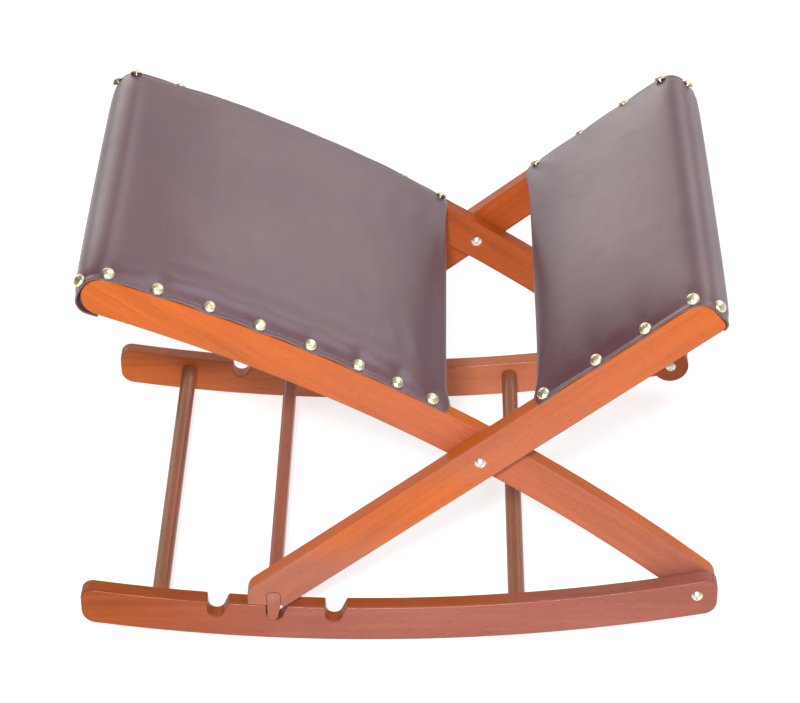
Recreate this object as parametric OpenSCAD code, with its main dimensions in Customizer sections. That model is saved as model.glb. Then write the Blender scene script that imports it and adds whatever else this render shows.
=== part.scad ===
// Rocking footstool: two rockers joined by dowels carry a folding crossed frame
// with a large and a small padded rest. The stretcher's ends drop into notches
// in the rockers and hold the frame at one of three heights.
//
// X runs along the rockers, Y across the stool, Z up from the floor.
// Profiles are drawn in the side view, as (x, z), and stood up as boards.

/* [Rockers] */
// Length of each rocker, end to end
rocker_length = 500; // [470:1:540]
// Width of the stool over both rockers
overall_width = 344; // [300:1:400]
// Thickness of each rocker
rocker_thickness = 14; // [12:0.5:18]
// Height of each rocker between its two curved edges
rocker_height = 32.4; // [30:0.2:38]
// Radius of the edge that rolls on the floor
rocker_radius = 1324; // [1000:1:1700]
// How far the lowest point lies left of the middle
low_point_offset = 27; // [10:1:40]
// Radius of the rockers' lower corners
toe_radius = 12; // [8:0.5:14]
// Radius of the rockers' upper corners
tip_radius = 9; // [6:0.5:12]

/* [Notches] */
// Distance from the rockers' left end to the first notch
first_notch = 105.9; // [90:0.1:115]
// Spacing of the notches
notch_pitch = 46.5; // [38:0.5:50]
// Radius of the notches' round bottom
notch_radius = 6.5; // [6:0.1:8]
// Depth of the notches below the rockers' top edge
notch_depth = 14.5; // [12:0.5:17]
// Slope of the notches' right wall from upright, in degrees
notch_flare = 23; // [15:1:28]

/* [Dowels and bolts] */
// Diameter of the cross dowels
dowel_diameter = 13.4; // [11:0.2:16]
// Depth of the dowels' sockets in the rockers
dowel_socket = 9; // [6:0.5:11]
// Distance from the rockers' left end to the left dowel
left_dowel_inset = 60.5; // [50:0.5:72]
// Distance from the rockers' right end to the right dowel
right_dowel_inset = 156.5; // [120:0.5:190]
// How far dowels and pivots lie above the middle of the rockers' height
axis_lift = 3; // [0:0.5:4]
// Diameter of the bolts' shanks
bolt_diameter = 6; // [4:0.5:7]
// Diameter of the bolts' heads
bolt_head_diameter = 9.2; // [8.5:0.1:11]
// Height of the bolts' heads
bolt_head_height = 2.6; // [2:0.1:3.5]
// Outer diameter of the spacer washers
washer_diameter = 15; // [12:0.5:18]
// Space between the outer parts and the inner bars, filled by the washers
side_gap = 2; // [1.5:0.1:4]

/* [Crossed frame] */
// Width of the bars, seen from the side
bar_width = 31.2; // [28:0.2:34]
// Thickness of the bars
bar_thickness = 14; // [12:0.5:18]
// Distance from the rockers' right end to the pivot
pivot_inset = 15.8; // [15.8:0.1:20]
// Distance from the pivot to the crossing
crossing_distance = 214.4; // [200:0.2:225]
// Angle of the line from pivot to crossing above level, in degrees
crossing_angle = 37.2; // [35:0.1:39]
// Radius of the inner bars' bow
bow_radius = 1408; // [1100:1:1800]
// Length of the inner bars from the crossing to the upper end's centre
inner_reach = 313; // [280:1:330]
// Length of the outer bars from the crossing to the upper end's face
outer_reach = 219; // [200:0.5:240]
// Radius of the upper ends' top corner on the outer bars
outer_tip_radius = 14; // [8:0.5:15]
// Radius of the upper ends' lower corner on the outer bars
outer_heel_radius = 5; // [3:0.5:8]
// Height of the outer bars' middle line above the rocker at the notch
foot_height = 12.6; // [11:0.2:16]
// Length of the foot to the left of the stretcher
foot_toe = 15.4; // [12:0.2:18]
// Radius of the foot's upper corner
foot_radius = 14; // [8:0.5:16]

/* [Stretcher] */
// Width of the stretcher
stretcher_width = 10.4; // [8:0.2:12]
// Height of the stretcher above the rocker's top edge
stretcher_rise = 13.6; // [10:0.2:16]
// Radius of the stretcher's upper edges
stretcher_ease = 3; // [1:0.5:4]
// Gap between the tongue and the notch's upright wall
tongue_side_gap = 0.9; // [0.4:0.1:1]
// Gap between the tongue and the notch's bottom
tongue_end_gap = 1; // [0.5:0.1:2]
// How much the tongue narrows on the notch's sloping side
tongue_taper = 3; // [0:0.2:3.6]
// Width of the flat at the tongue's foot, between its two rounded corners
tongue_flat = 1; // [0.6:0.1:2]

/* [Rests] */
// Distance from the crossing to the large rest's lower edge
large_rest_start = 41.5; // [30:0.5:60]
// Distance from the crossing to the small rest's lower edge
small_rest_start = 68; // [60:0.5:90]
// Thickness of the leather
leather = 1.6; // [1:0.1:2.5]
// Thickness of the leather and its padding round the bars' upper ends
end_roll = 4; // [2:0.5:6]
// Height of the padding's crown above the bars
crown = 14.4; // [8:0.2:18]
// How much lower the padding is at its shoulders than at its crown, in percent
shoulder_fall = 24; // [15:1:40]
// Slope of the padding where it meets the bars, in degrees
shoulder_slope = 48; // [35:1:55]
// Thickness of the plywood panels
panel_thickness = 5; // [3:0.5:6]
// Depth of the panels' upper face below the bars' upper edge
panel_drop = 7.6; // [6:0.2:10]
// Size of the hidden cross rails along the bars
rail_size = 20; // [16:0.5:26]
// Height of the hidden cross rails
rail_height = 17; // [14:0.5:18]

/* [Joinery and nails] */
// Diameter of the hidden dowel pins
pin_diameter = 6; // [5:0.5:7]
// Length of the hidden dowel pins
pin_length = 28; // [22:1:34]
// Depth of the dowel pins in the bars
pin_depth = 9; // [6:0.5:11]
// Wood under the dowel pins in the rails
pin_cover = 2; // [1:0.5:5]
// Diameter of the nails' domed heads
nail_head_diameter = 9.5; // [8:0.1:11]
// Height of the nails' heads
nail_head_height = 3; // [2:0.1:4]
// Height of the straight rim under the nails' domes
nail_rim = 0.4; // [0.2:0.1:1]
// Diameter of the nails' shanks
nail_shank_diameter = 1.8; // [1.2:0.1:2.5]
// Length of the nails' shanks below the leather
nail_length = 10; // [8:0.5:12]

/* [Clearances] */
// Radial clearance of the bolts in the pieces that turn on them
running_clearance = 0.05; // [0.02:0.01:0.1]
// Gap between faces that slide on each other
face_clearance = 0.1; // [0.05:0.05:0.3]
// Gap between the outer bars' feet and the rockers
seat_clearance = 0.3; // [0.2:0.05:0.5]

/* [Hidden] */
$fn = 64;
wide_fn = 720;      // for the long, flat arcs
past = 1;           // how far cutting shapes reach past what they cut
join_ease = 0.02;   // how far a rounded end stands proud, so that arcs and edges cross and don't just touch
flap_gap = 0.1;     // between the leather folded down over the rests' lower ends and the rails behind it

// Where the nails sit, by hand and a little uneven, as percentages of the rest's length:
// down from the upper end's centre on the large rest, and up from the lower edge on the small one
large_nails_near = [-1, 13.5, 28.5, 43, 58, 72.5, 84.5, 95.5];
large_nails_far = [-2.5, 11, 25.5, 40.5, 55, 70, 84.5, 98];
small_nails_near = [4, 36, 65.5, 92];
small_nails_far = [6.5, 38, 67.5, 92];
large_end_nail_turn = 85;   // degrees from the bar's upper edge, round its end
small_end_nail_drop = 4;    // below the middle of the end face

// Faces across the stool, on the near side (the far side is its mirror image)
outer_face = -overall_width / 2;
rocker_inside = outer_face + rocker_thickness;
outer_bar_inside = outer_face + bar_thickness;
inner_bar_outside = max(rocker_inside, outer_bar_inside) + side_gap;
inner_bar_inside = inner_bar_outside + bar_thickness;

// The rockers' arcs about one centre
rocker_end = rocker_length / 2;
rocker_centre = [-low_point_offset, rocker_radius];
top_radius = rocker_radius - rocker_height;
function arc_height(radius, x) = rocker_radius - sqrt(pow(radius, 2) - pow(x - rocker_centre.x, 2));
function top_height(x) = arc_height(top_radius, x);
function axis_height(x) = (top_height(x) + arc_height(rocker_radius, x)) / 2 + axis_lift;

left_dowel_x = left_dowel_inset - rocker_end;
right_dowel_x = rocker_end - right_dowel_inset;

function notch_x(i) = first_notch - rocker_end + i * notch_pitch;
function notch_bottom(i) = top_height(notch_x(i)) - notch_depth;
used_notch = 1;     // the notch that the stretcher is in

// The frame's two pivots
pivot_x = rocker_end - pivot_inset;
pivot = [pivot_x, axis_height(pivot_x)];
crossing = pivot + crossing_distance * [-cos(crossing_angle), sin(crossing_angle)];

// The inner bars' bow: an arc through both pivots, and angles along it
half = bar_width / 2;
bow_centre = (pivot + crossing) / 2
    - sqrt(pow(bow_radius, 2) - pow(crossing_distance / 2, 2)) * [sin(crossing_angle), cos(crossing_angle)];
function angle_of(p) = atan2(p.y - bow_centre.y, p.x - bow_centre.x);
function bow_angle(distance) = distance / bow_radius * 180 / PI;
function on_bow(angle, rise = 0) = bow_centre + (bow_radius + rise) * [cos(angle), sin(angle)];
pivot_angle = angle_of(pivot);
crossing_bow_angle = angle_of(crossing);
upper_angle = crossing_bow_angle + bow_angle(inner_reach);
upper_end = on_bow(upper_angle);
large_start_angle = crossing_bow_angle + bow_angle(large_rest_start);

// The outer bars' straight line, through the foot over the notch and the crossing
foot_x = notch_x(used_notch);
foot = [foot_x, top_height(foot_x) + foot_height];
outer_angle = atan2(crossing.y - foot.y, crossing.x - foot.x);
tongue_left = foot_x - notch_radius + tongue_side_gap;
foot_left = tongue_left - foot_toe;

// Depths in the rests, from the bars' middle line
panel_top = half - panel_drop;
panel_bottom = panel_top - panel_thickness;
rail_bottom = panel_bottom - rail_height;

// ---- Helpers -------------------------------------------------------------

// Stands a side-view profile up between two places across the stool
module board(from, to) {
    translate([0, to, 0]) rotate([90, 0, 0]) linear_extrude(to - from) children();
}

// The far side's piece is the near side's mirror image
module far_side() {
    mirror([0, 1, 0]) children();
}

module both_sides() {
    children();
    far_side() children();
}

// What a round corner takes away: a wedge about c between two directions, less the circle.
// The circle reaches join_ease past the two edges, so that it crosses them cleanly
module corner(c, radius, from, to) {
    reach = radius * 2;
    difference() {
        polygon([c, for (i = [0:4]) let (a = from + (to - from) * i / 4)
            c + reach * [cos(a), sin(a)]]);
        translate(c) circle(radius + join_ease);
    }
}

// A cylinder across the stool from one place to another, at a side-view point
module across(p, diameter, from, to) {
    translate([p.x, to, p.y]) rotate([90, 0, 0]) cylinder(d = diameter, h = to - from);
}

// Places children in the outer bars' own frame: x up the bar from the crossing, y out of its upper edge
module along_outer_bar() {
    translate(crossing) rotate(outer_angle) children();
}

// The same for whole solids: x up the bar, y across the stool, z out of the upper edge
module outer_bar_place() {
    translate([crossing.x, 0, crossing.y]) rotate([0, -outer_angle, 0]) children();
}

// Places a solid on the bow: x along the bar towards the crossing, z out of the upper edge
module bow_place(angle, rise = 0) {
    p = on_bow(angle, rise);
    translate([p.x, 0, p.y]) rotate([0, 90 - angle, 0]) children();
}

// A section, as (distance from the bow's centre, across), swept along the bow
module bow_sweep(from, to) {
    translate([bow_centre.x, 0, bow_centre.y]) rotate([90, 0, 0]) rotate(from)
        rotate_extrude(angle = to - from, $fn = wide_fn) children();
}

// A side-view slice of the bow between two angles and two distances from the middle line
module bow_slice(from, to, low, high) {
    middle = (from + to) / 2;
    reach = (bow_radius + high) / cos((to - from) / 2) + past;
    intersection() {
        translate(bow_centre) difference() {
            circle(bow_radius + high, $fn = wide_fn);
            circle(bow_radius + low, $fn = wide_fn);
        }
        translate(bow_centre) polygon([[0, 0], reach * [cos(from), sin(from)], reach * [cos(to), sin(to)]]);
    }
}

// ---- Rockers and dowels --------------------------------------------------

module notch(i) {
    r = notch_radius;
    top = notch_depth + past * 4;
    translate([notch_x(i), notch_bottom(i) + r]) {
        circle(r);
        polygon([[-r, 0], [-r, top], [(r + top * sin(notch_flare)) / cos(notch_flare), top],
            [r * cos(notch_flare), -r * sin(notch_flare)]]);
    }
}

module rocker_outline() {
    toe_x = rocker_end - toe_radius;
    tip_x = rocker_end - tip_radius;
    difference() {
        intersection() {
            translate(rocker_centre) difference() {
                circle(rocker_radius, $fn = wide_fn);
                circle(top_radius, $fn = wide_fn);
            }
            translate([-rocker_end, -past]) square([rocker_length, rocker_radius / 4]);
        }
        for (side = [-1, 1]) {
            toe = [side * toe_x, arc_height(rocker_radius - toe_radius, side * toe_x)];
            tip = [side * tip_x, arc_height(top_radius + tip_radius, side * tip_x)];
            level = 90 - side * 90;
            down = atan2(toe.y - rocker_centre.y, toe.x - rocker_centre.x);
            up = atan2(rocker_centre.y - tip.y, rocker_centre.x - tip.x);
            corner(toe, toe_radius, side > 0 ? down : down + 360, level);
            corner(tip, tip_radius, level, up);
        }
        for (i = [0:2]) notch(i);
    }
}

module near_rocker() {
    color("sienna") difference() {
        board(outer_face, rocker_inside) rocker_outline();
        dowels();
        across(pivot, bolt_diameter, outer_face - past, rocker_inside + past);
    }
}

module far_rocker() {
    far_side() near_rocker();
}

module cross_dowel(x) {
    socket_bottom = rocker_inside - dowel_socket;
    across([x, axis_height(x)], dowel_diameter, socket_bottom, -socket_bottom);
}

module dowels() {
    cross_dowel(left_dowel_x);
    cross_dowel(right_dowel_x);
}

module left_cross_dowel() {
    color("saddlebrown") cross_dowel(left_dowel_x);
}

module right_cross_dowel() {
    color("saddlebrown") cross_dowel(right_dowel_x);
}

// ---- Bolts, washers and nuts ---------------------------------------------

// A domed pan head with a cross recess, standing on z = 0
module pan_head() {
    dome = (pow(bolt_head_diameter / 2, 2) + pow(bolt_head_height, 2)) / (2 * bolt_head_height);
    slot = [bolt_head_diameter * 0.55, bolt_head_diameter * 0.14, bolt_head_height];
    difference() {
        intersection() {
            translate([0, 0, bolt_head_height - dome]) sphere(dome);
            cylinder(d = bolt_head_diameter, h = bolt_head_height);
        }
        for (turn = [45, 135])
            translate([0, 0, bolt_head_height]) rotate(turn) cube(slot, center = true);
    }
}

// The head and shank of a near-side bolt: the head's seat, and how far in the shank reaches
module bolt(p, head_seat, shank_end) {
    translate([p.x, head_seat, p.y]) rotate([90, 0, 0]) pan_head();
    across(p, bolt_diameter, head_seat, shank_end);
}

// A cap nut on the inner face of the inner bar, with the bolt's end in it
nut_wall = 1.2;
module cap_nut(p, seat) {
    difference() {
        translate([p.x, seat, p.y]) rotate([-90, 0, 0]) pan_head();
        across(p, bolt_diameter, seat - past, seat + bolt_head_height - nut_wall - 0.4);
    }
}

module washer(p, from, to) {
    difference() {
        across(p, washer_diameter, from, to);
        across(p, bolt_diameter + 2 * running_clearance, from - past, to + past);
    }
}

nut_engagement = bolt_head_height - nut_wall - 0.4;

module pivot_bolts() {
    seat = inner_bar_inside + face_clearance;
    color("silver") both_sides() bolt(pivot, outer_face, seat + nut_engagement);
}

module pivot_washers() {
    color("gray") both_sides() washer(pivot, rocker_inside, inner_bar_outside - face_clearance);
}

module pivot_nuts() {
    color("silver") both_sides() cap_nut(pivot, inner_bar_inside + face_clearance);
}

module scissor_bolts() {
    color("silver") both_sides()
        bolt(crossing, outer_face - face_clearance, inner_bar_inside + nut_engagement);
}

module scissor_washers() {
    color("gray") both_sides() washer(crossing, outer_bar_inside + face_clearance, inner_bar_outside);
}

module scissor_nuts() {
    color("silver") both_sides() cap_nut(crossing, inner_bar_inside);
}

// ---- Inner frame ---------------------------------------------------------

module inner_bar_outline() {
    bow_slice(pivot_angle, upper_angle, -half, half);
    translate(pivot) circle(half + join_ease);
    inner_bar_end();
}

module inner_bar_end() {
    translate(upper_end) circle(half + join_ease);
}

module near_inner_bar() {
    color("peru") difference() {
        board(inner_bar_outside, inner_bar_inside) inner_bar_outline();
        across(pivot, bolt_diameter + 2 * running_clearance, inner_bar_outside - past, inner_bar_inside + past);
        across(crossing, bolt_diameter, inner_bar_outside - past, inner_bar_inside + past);
        inner_pins_near();
        large_nails(large_nails_near);
    }
}

module far_inner_bar() {
    color("peru") far_side() difference() {
        board(inner_bar_outside, inner_bar_inside) inner_bar_outline();
        across(pivot, bolt_diameter + 2 * running_clearance, inner_bar_outside - past, inner_bar_inside + past);
        across(crossing, bolt_diameter, inner_bar_outside - past, inner_bar_inside + past);
        inner_pins_near();
        large_nails(large_nails_far);
    }
}

// The hidden rails: the upper one is rounded with the bars' ends and has a ledge for the panel
top_ledge_angle = upper_angle - bow_angle(rail_size);
frame_start_angle = large_start_angle + bow_angle(flap_gap);
lower_rail_angle = large_start_angle + bow_angle(rail_size);

module inner_top_rail() {
    color("burlywood") difference() {
        board(inner_bar_inside, -inner_bar_inside) {
            difference() {
                inner_bar_end();
                bow_slice(upper_angle - 5, upper_angle, -half - past, half + past);
            }
            bow_slice(top_ledge_angle, upper_angle + bow_angle(past), rail_bottom, panel_bottom);
        }
        both_sides() inner_pins_near();
    }
}

module inner_lower_rail() {
    color("burlywood") difference() {
        board(inner_bar_inside, -inner_bar_inside)
            bow_slice(frame_start_angle, lower_rail_angle, rail_bottom, panel_bottom);
        both_sides() inner_pins_near();
    }
}

pin_spread = rail_size / 4;
pin_level = rail_bottom + pin_diameter / 2 + pin_cover;
module inner_pins_near() {
    end = inner_bar_inside - pin_depth;
    for (rail = [top_ledge_angle + bow_angle(rail_size / 2), lower_rail_angle - bow_angle(rail_size / 2)])
        for (side = [-1, 1])
            across(on_bow(rail + side * bow_angle(pin_spread), pin_level), pin_diameter, end, end + pin_length);
}

module inner_rail_pins() {
    color("tan") both_sides() inner_pins_near();
}

// ---- Rests ---------------------------------------------------------------

// A crowned section: x out of the bars' upper edge, y across, with a flat base at some depth
module crest(half_width, rise, depth) {
    radius = (pow(half_width, 2) + pow(rise, 2)) / (2 * rise);
    intersection() {
        translate([rise - radius, 0]) circle(radius, $fn = wide_fn);
        translate([-depth, -half_width]) square([rise + depth + past, 2 * half_width]);
    }
}

// A padded section, like a crest with a flatter crown and steep, rounded shoulders down to both edges.
// Each shoulder's circle tops out just above the crown's arc, so that they cross and don't touch
module pillow(half_width, rise, depth) {
    fall = rise * shoulder_fall / 100;
    crown_radius = (pow(half_width, 2) + pow(fall, 2)) / (2 * fall);
    shoulder_top = rise - 0.6 * fall + 0.3;
    shoulder_radius = shoulder_top / (1 - cos(shoulder_slope));
    shoulder_y = half_width - shoulder_radius * sin(shoulder_slope);
    intersection() {
        translate([rise - crown_radius, 0]) circle(crown_radius, $fn = wide_fn);
        union() {
            for (side = [-1, 1])
                translate([shoulder_top - shoulder_radius, side * shoulder_y])
                    circle(shoulder_radius, $fn = wide_fn / 3);
            translate([-bar_width, -shoulder_y]) square([bar_width + shoulder_top, 2 * shoulder_y]);
        }
        translate([-depth, -half_width]) square([rise + depth + past, 2 * half_width]);
    }
}

foam_inset = 1;     // the foam's ends stay this far inside the leather's
foam_side_gap = 0.3;    // and its sides this far from the bars
flap_top = half + 0.9 * leather;    // the leather folded down over the lower ends, just under the rest of it
dome_extra = 3;     // how much higher the crown along the bars is than the one across
dome_margin = 2;    // how far the crowns run past the rests before they reach the bars
large_half_width = -(inner_bar_outside + bar_thickness / 2);
small_half_width = -(outer_face + bar_thickness / 2);

module large_rest_panel() {
    color("wheat") board(inner_bar_inside, -inner_bar_inside)
        bow_slice(frame_start_angle, upper_angle, panel_bottom, panel_top);
}

// The large rest's crown: a section swept along the bow, cut by a second crown along the bars
module large_dome(inset, rise, lift) {
    low = on_bow(large_start_angle, half);
    high = on_bow(upper_angle, half);
    span = norm(high - low);
    sagitta = bow_radius + half - sqrt(pow(bow_radius + half, 2) - pow(span / 2, 2));
    intersection() {
        bow_sweep(large_start_angle + bow_angle(inset), upper_angle - bow_angle(inset))
            translate([bow_radius + half, 0]) children();
        board(outer_face, -outer_face)
            translate((low + high) / 2) rotate(atan2(low.y - high.y, low.x - high.x) + 90)
                translate([lift, 0]) crest(span / 2 + dome_margin, rise + dome_extra + sagitta, bar_width);
    }
}

module large_filling(depth) {
    large_dome(foam_inset, crown, 0) pillow(-inner_bar_inside - foam_side_gap, crown, depth);
}

module large_rest_foam() {
    color("khaki") large_filling(panel_drop);
}

// The leather on the bars, in side view: along their upper edge and rolled round the end over padding
module large_cover_outline() {
    beyond = end_roll - leather;
    difference() {
        union() {
            bow_slice(large_start_angle, upper_angle + bow_angle(beyond), half - leather, half + leather);
            translate(upper_end + beyond * [-sin(upper_angle), cos(upper_angle)])
                circle(half + leather + join_ease);
        }
        inner_bar_outline();
        bow_slice(upper_angle - bow_angle(bar_width), upper_angle, -half - 2 * end_roll, leather - half);
    }
}

// The leather: over the crown and the bars' edges, round the upper end and down the lower one
module large_rest_leather() {
    color("#3a2a2e") difference() {
        union() {
            large_dome(foam_inset / 2, crown, leather) pillow(large_half_width, crown + leather, -leather / 2);
            board(inner_bar_outside, -inner_bar_outside) large_cover_outline();
            board(inner_bar_inside, -inner_bar_inside) {
                bow_slice(large_start_angle - bow_angle(leather), large_start_angle, rail_bottom, flap_top);
                bow_slice(large_start_angle - bow_angle(leather), large_start_angle + bow_angle(foam_inset / 2),
                    panel_top, flap_top);
            }
        }
        large_filling(past);
        large_nails(large_nails_near);
        far_side() large_nails(large_nails_far);
    }
}

// ---- Nails ---------------------------------------------------------------

// A domed nail with its head's seat on z = 0
module nail() {
    rise = nail_head_height - nail_rim;
    dome = (pow(nail_head_diameter / 2, 2) + pow(rise, 2)) / (2 * rise);
    intersection() {
        translate([0, 0, nail_head_height - dome]) sphere(dome);
        cylinder(d = nail_head_diameter, h = nail_head_height);
    }
    translate([0, 0, -nail_length]) cylinder(d = nail_shank_diameter, h = nail_length);
}

module large_nails(stations) {
    y = inner_bar_outside + bar_thickness / 2;
    length = inner_reach - large_rest_start;
    for (share = stations)
        translate([0, y, 0]) bow_place(upper_angle - bow_angle(length * share / 100), half + leather) nail();
    translate([upper_end.x, y, upper_end.y]) rotate([0, 90 - upper_angle - large_end_nail_turn, 0])
        translate([0, 0, half + end_roll]) nail();
}

module small_nails(stations) {
    y = outer_face + bar_thickness / 2;
    length = outer_reach - small_rest_start;
    for (share = stations)
        translate([0, y, 0]) outer_bar_place()
            translate([small_rest_start + length * share / 100, 0, half + leather]) nail();
    translate([0, y, 0]) outer_bar_place()
        translate([outer_reach + end_roll, 0, -small_end_nail_drop]) rotate([0, 90, 0]) nail();
}

module large_rest_nails_near() {
    color("gold") large_nails(large_nails_near);
}

module large_rest_nails_far() {
    color("gold") far_side() large_nails(large_nails_far);
}

module small_rest_nails_near() {
    color("gold") small_nails(small_nails_near);
}

module small_rest_nails_far() {
    color("gold") far_side() small_nails(small_nails_far);
}

// ---- Outer frame ---------------------------------------------------------

// The upper end of the outer bars, as a profile in the bar's own frame
module outer_end(longer = 0, wider = 0) {
    end = outer_reach + longer + wider;
    width = half + wider;
    tip = outer_tip_radius + wider;
    heel = outer_heel_radius + wider;
    difference() {
        translate([0, -width]) square([end, 2 * width]);
        corner([end - tip, width - tip], tip, 0, 90);
        corner([end - heel, heel - width], heel, -90, 0);
    }
}

module stretcher_outline() {
    shoulder = top_height(foot_x);
    top = shoulder + stretcher_rise;
    bottom = notch_bottom(used_notch) + tongue_end_gap;
    left = tongue_left;
    right = left + stretcher_width;
    lean = atan2(tongue_taper, shoulder - bottom);
    r = (stretcher_width - tongue_taper - tongue_flat) / (1 + (1 - sin(lean)) / cos(lean));
    difference() {
        polygon([[left, top], [left, bottom], [right - tongue_taper, bottom], [right, shoulder], [right, top]]);
        corner([left + stretcher_ease, top - stretcher_ease], stretcher_ease, 90, 180);
        corner([right - stretcher_ease, top - stretcher_ease], stretcher_ease, 0, 90);
        corner([left + r, bottom + r], r, 180, 270);
        corner([left + r + tongue_flat, bottom + r], r, -90, -lean);
    }
}

module outer_bar_outline() {
    lean = [foot_left + foot_radius, 0];
    drop = half - foot_radius;
    s = (lean.x - crossing.x + drop * sin(outer_angle)) / cos(outer_angle);
    round_centre = crossing + s * [cos(outer_angle), sin(outer_angle)] + drop * [-sin(outer_angle), cos(outer_angle)];
    length = norm(crossing - foot) + bar_width * 2;
    difference() {
        intersection() {
            union() {
                along_outer_bar() outer_end();
                along_outer_bar() translate([-length, -half]) square([length, bar_width]);
            }
            translate(rocker_centre) circle(top_radius - seat_clearance, $fn = wide_fn);
            translate([foot_left, 0]) square([rocker_length * 2, rocker_length * 2]);
        }
        corner(round_centre, foot_radius, outer_angle + 90, 180);
        stretcher_outline();
    }
}

module near_outer_bar() {
    color("chocolate") difference() {
        board(outer_face, outer_bar_inside) outer_bar_outline();
        across(crossing, bolt_diameter + 2 * running_clearance, outer_face - past, outer_bar_inside + past);
        outer_pins_near();
        small_nails(small_nails_near);
    }
}

module far_outer_bar() {
    color("chocolate") far_side() difference() {
        board(outer_face, outer_bar_inside) outer_bar_outline();
        across(crossing, bolt_diameter + 2 * running_clearance, outer_face - past, outer_bar_inside + past);
        outer_pins_near();
        small_nails(small_nails_far);
    }
}

module stretcher() {
    color("sienna") board(outer_face, -outer_face) stretcher_outline();
}

module outer_top_rail() {
    color("burlywood") difference() {
        board(outer_bar_inside, -outer_bar_inside) along_outer_bar() {
            intersection() {
                outer_end();
                translate([outer_reach - rail_size, rail_bottom]) square([rail_size, panel_bottom - rail_bottom]);
            }
            intersection() {
                outer_end();
                translate([outer_reach - rail_size * 0.7, rail_bottom]) square([rail_size, bar_width]);
            }
        }
        both_sides() outer_pins_near();
    }
}

module outer_lower_rail() {
    color("burlywood") difference() {
        board(outer_bar_inside, -outer_bar_inside) along_outer_bar()
            translate([frame_start, rail_bottom]) square([rail_size - flap_gap, rail_height]);
        both_sides() outer_pins_near();
    }
}

module outer_pins_near() {
    end = outer_bar_inside - pin_depth;
    for (rail = [outer_reach - rail_size / 2, small_rest_start + rail_size / 2])
        for (side = [-1, 1])
            translate([0, end + pin_length / 2, 0]) outer_bar_place()
                translate([rail + side * pin_spread, 0, pin_level])
                    rotate([90, 0, 0]) cylinder(d = pin_diameter, h = pin_length, center = true);
}

module outer_rail_pins() {
    color("tan") both_sides() outer_pins_near();
}

panel_end = outer_reach - rail_size * 0.7;
frame_start = small_rest_start + flap_gap;

module small_rest_panel() {
    color("wheat") board(outer_bar_inside, -outer_bar_inside) along_outer_bar()
        translate([frame_start, panel_bottom]) square([panel_end - frame_start, panel_thickness]);
}

small_length = outer_reach - outer_tip_radius - small_rest_start;

// The small rest's crown, made the same way on the straight bars
module small_dome(inset, rise, lift) {
    intersection() {
        outer_bar_place() translate([small_rest_start + small_length - inset, 0, half]) rotate([0, -90, 0])
            linear_extrude(small_length - 2 * inset) children();
        board(outer_face, -outer_face) along_outer_bar()
            translate([small_rest_start + small_length / 2, half + lift]) rotate(90)
                crest(small_length / 2 + dome_margin, rise + dome_extra, bar_width);
    }
}

module small_filling(depth) {
    small_dome(foam_inset, crown, 0) pillow(-outer_bar_inside - foam_side_gap, crown, depth);
}

module small_rest_foam() {
    color("khaki") small_filling(panel_drop);
}

// The leather on the bars, in side view: along their upper edge and down the end to the lower edge
module small_cover_outline() {
    difference() {
        outer_end(end_roll - leather, leather);
        outer_end();
        translate([-past, -bar_width]) square([small_rest_start + past, 2 * bar_width]);
        translate([0, -3 * half]) square([outer_reach + 2 * end_roll, 2 * half]);
    }
}

module small_rest_leather() {
    color("#3a2a2e") difference() {
        union() {
            small_dome(foam_inset / 2, crown, leather) pillow(small_half_width, crown + leather, -leather / 2);
            board(outer_face, -outer_face) along_outer_bar() small_cover_outline();
            board(outer_bar_inside, -outer_bar_inside) along_outer_bar() translate([small_rest_start - leather, 0]) {
                translate([0, rail_bottom]) square([leather, flap_top - rail_bottom]);
                translate([0, panel_top]) square([leather + foam_inset / 2, flap_top - panel_top]);
            }
        }
        small_filling(past);
        small_nails(small_nails_near);
        far_side() small_nails(small_nails_far);
    }
}

near_rocker();
far_rocker();
left_cross_dowel();
right_cross_dowel();
pivot_bolts();
pivot_washers();
pivot_nuts();
near_inner_bar();
far_inner_bar();
inner_top_rail();
inner_lower_rail();
inner_rail_pins();
large_rest_panel();
large_rest_foam();
large_rest_leather();
large_rest_nails_near();
large_rest_nails_far();
scissor_bolts();
scissor_washers();
scissor_nuts();
near_outer_bar();
far_outer_bar();
stretcher();
outer_top_rail();
outer_lower_rail();
outer_rail_pins();
small_rest_panel();
small_rest_foam();
small_rest_leather();
small_rest_nails_near();
small_rest_nails_far();
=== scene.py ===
"""Dresses the rocking footstool: cherry rockers and crossed bars, leather rests and brass nails."""

import math

import bpy
from mathutils import Matrix, Vector


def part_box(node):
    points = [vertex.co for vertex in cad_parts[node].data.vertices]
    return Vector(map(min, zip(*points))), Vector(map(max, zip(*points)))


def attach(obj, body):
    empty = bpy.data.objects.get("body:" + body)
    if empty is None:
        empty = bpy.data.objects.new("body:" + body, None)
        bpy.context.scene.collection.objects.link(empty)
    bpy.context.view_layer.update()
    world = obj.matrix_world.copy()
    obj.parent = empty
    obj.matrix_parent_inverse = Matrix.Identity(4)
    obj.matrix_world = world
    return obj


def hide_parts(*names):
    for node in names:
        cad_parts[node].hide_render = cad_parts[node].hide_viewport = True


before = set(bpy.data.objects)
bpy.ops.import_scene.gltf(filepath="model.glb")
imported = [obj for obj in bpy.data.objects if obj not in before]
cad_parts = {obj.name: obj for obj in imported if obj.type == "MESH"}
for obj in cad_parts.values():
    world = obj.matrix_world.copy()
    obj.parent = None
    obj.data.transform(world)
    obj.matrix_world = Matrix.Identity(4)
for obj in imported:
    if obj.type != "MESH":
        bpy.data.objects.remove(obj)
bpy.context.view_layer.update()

# ---- The stool's own lines, in millimetres, in the side view (x, z) --------------------------

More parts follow.
